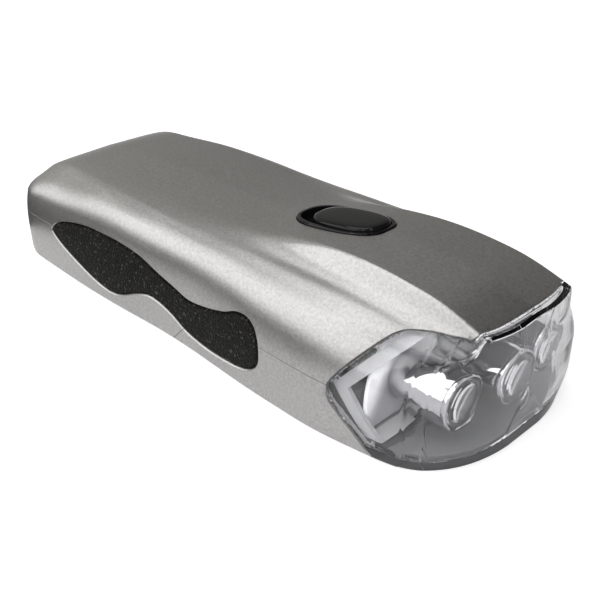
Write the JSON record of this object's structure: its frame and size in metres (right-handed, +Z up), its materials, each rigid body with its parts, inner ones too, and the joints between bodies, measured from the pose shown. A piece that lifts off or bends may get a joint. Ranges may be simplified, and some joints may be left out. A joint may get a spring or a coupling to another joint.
{
  "type": "hand crank flashlight",
  "caption": "Pocket flashlight with silver shells, rubber grips, clear nose with lamps and reflector cups, sliding switch, and a folding crank that turns a geared generator.",
  "frame": {"origin": "middle of the flat base, at the centre of the length and of the width", "axes": "+X to the lamps at the front, +Y to the torch's left side, +Z up through the deck with the switch"},
  "size_m": [0.14, 0.0564, 0.0326],
  "materials": {
    "silver_shell": "satin silver metallic paint on moulded plastic, fine grain",
    "grip_rubber": "matt black rubber with a fine leather-like grain",
    "clear_plastic": "clear polished plastic",
    "smoke_plastic": "dark grey glossy plastic",
    "dark_plastic": "fine matt moulded plastic",
    "black_gloss": "glossy black plastic",
    "gear_plastic": "natural white low friction plastic",
    "chrome": "vacuum metallised mirror",
    "steel": "bright zinc plate",
    "brass": "turned brass",
    "copper": "enamelled copper winding",
    "magnet": "dark sintered magnet",
    "board": "green solder resist"
  },
  "bodies": {
    "housing": {"upper_shell": "silver_shell", "lower_rear_shell": "silver_shell", "lower_front_shell": "silver_shell", "right_grip": "grip_rubber", "left_grip": "grip_rubber", "clear_lens": "clear_plastic", "front_sill": "smoke_plastic", "shell_screw_1": "steel", "shell_screw_2": "steel", "shell_screw_3": "steel", "shell_screw_4": "steel", "shell_screw_5": "steel", "shell_screw_6": "steel", "crank_bush": "brass", "first_axle": "steel", "second_axle": "steel", "gear_plate": "steel", "plate_screw_1": "steel", "plate_screw_2": "steel", "plate_screw_3": "steel", "generator_case": "steel", "generator_coil": "copper", "generator_cap": "steel", "cell_cradle": "dark_plastic", "cell_1": "steel", "cell_2": "steel", "cell_3": "steel", "main_board": "board", "lamp_board": "board", "lamp_1": "clear_plastic", "lamp_2": "clear_plastic", "lamp_3": "clear_plastic", "disc_lens_1": "clear_plastic", "disc_lens_2": "clear_plastic", "disc_lens_3": "clear_plastic", "reflector": "chrome", "right_lens_seal": "grip_rubber", "left_lens_seal": "grip_rubber", "switch_body": "black_gloss", "switch_bezel": "black_gloss"},
    "crank": {"crank_hub": "dark_plastic", "crank_shaft": "steel", "drive_gear": "gear_plastic", "drive_gear_clip": "steel", "hinge_pin": "steel"},
    "arm": {"crank_arm": "dark_plastic", "knob_pin": "steel"},
    "knob": {"crank_knob": "black_gloss"},
    "first_wheel": {"first_gear": "gear_plastic"},
    "second_wheel": {"second_gear": "gear_plastic"},
    "rotor": {"generator_magnet": "magnet", "generator_shaft": "steel", "generator_pinion": "brass"},
    "slider": {"switch_slider": "black_gloss"}
  },
  "joints": [
    {"name": "crank_spin", "type": "hinge", "parent": "housing", "child": "crank", "pos_m": [-0.037, 0, 0], "axis": [0, 0, 1], "continuous": true},
    {"name": "arm_fold", "type": "hinge", "parent": "crank", "child": "arm", "pos_m": [-0.019, 0, 0.002], "axis": [0, -1, 0], "range_deg": [0, 180]},
    {"name": "knob_spin", "type": "hinge", "parent": "arm", "child": "knob", "pos_m": [-0.0495, 0, 0], "axis": [0, 0, 1], "continuous": true},
    {"name": "first_gear_spin", "type": "hinge", "parent": "housing", "child": "first_wheel", "pos_m": [-0.01887, -0.00845, 0], "axis": [0, 0, 1], "continuous": true},
    {"name": "second_gear_spin", "type": "hinge", "parent": "housing", "child": "second_wheel", "pos_m": [-0.00756, 0.00286, 0], "axis": [0, 0, 1], "continuous": true},
    {"name": "rotor_spin", "type": "hinge", "parent": "housing", "child": "rotor", "pos_m": [0.0063, -0.00514, 0], "axis": [0, 0, 1], "continuous": true},
    {"name": "switch_slide", "type": "slide", "parent": "housing", "child": "slider", "axis": [-0.9903, 0, -0.1392], "range_m": [0, 0.0036]}
  ],
  "couplings": [
    {"joint": "first_gear_spin", "follows": "crank_spin", "ratio": -4},
    {"joint": "second_gear_spin", "follows": "crank_spin", "ratio": 12},
    {"joint": "rotor_spin", "follows": "crank_spin", "ratio": -36}
  ]
}
